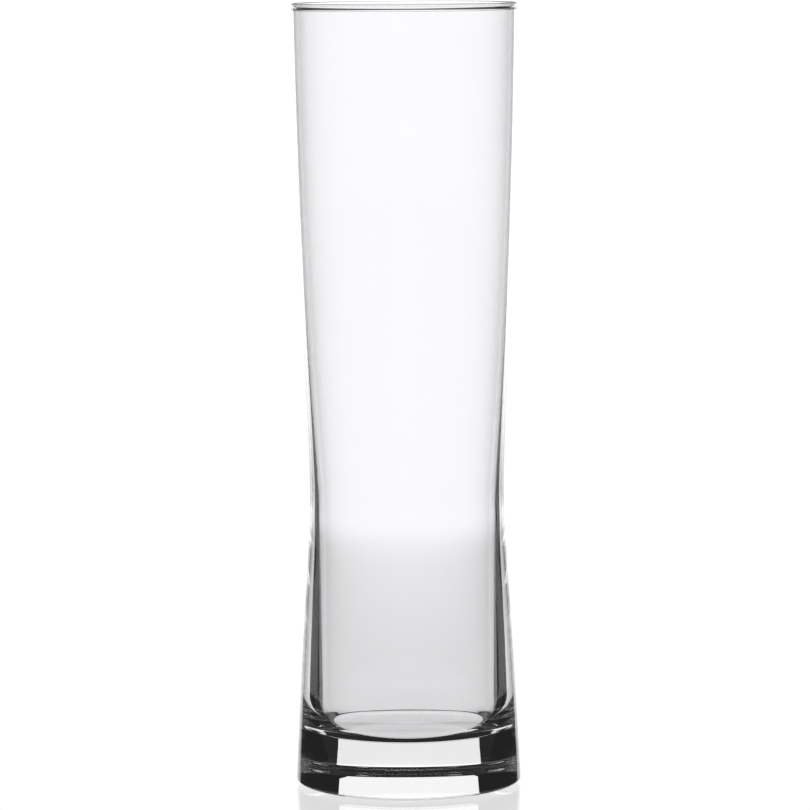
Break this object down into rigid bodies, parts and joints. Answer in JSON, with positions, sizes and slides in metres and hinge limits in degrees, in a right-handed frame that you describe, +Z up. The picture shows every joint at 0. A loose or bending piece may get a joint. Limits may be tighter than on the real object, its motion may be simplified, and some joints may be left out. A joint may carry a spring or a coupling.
{
  "type": "drinking glass",
  "caption": "Tall waisted clear glass tumbler with a thin rounded rim, a deep open cavity and a thick solid foot.",
  "frame": {"origin": "centre of the foot's resting plane", "axes": "+Z up along the axis of revolution, towards the rim; X and Y are interchangeable"},
  "size_m": [0.0576, 0.0576, 0.2],
  "materials": {
    "clear_glass": "polished"
  },
  "bodies": {
    "root": {"glass_body": "clear_glass"}
  },
  "joints": []
}
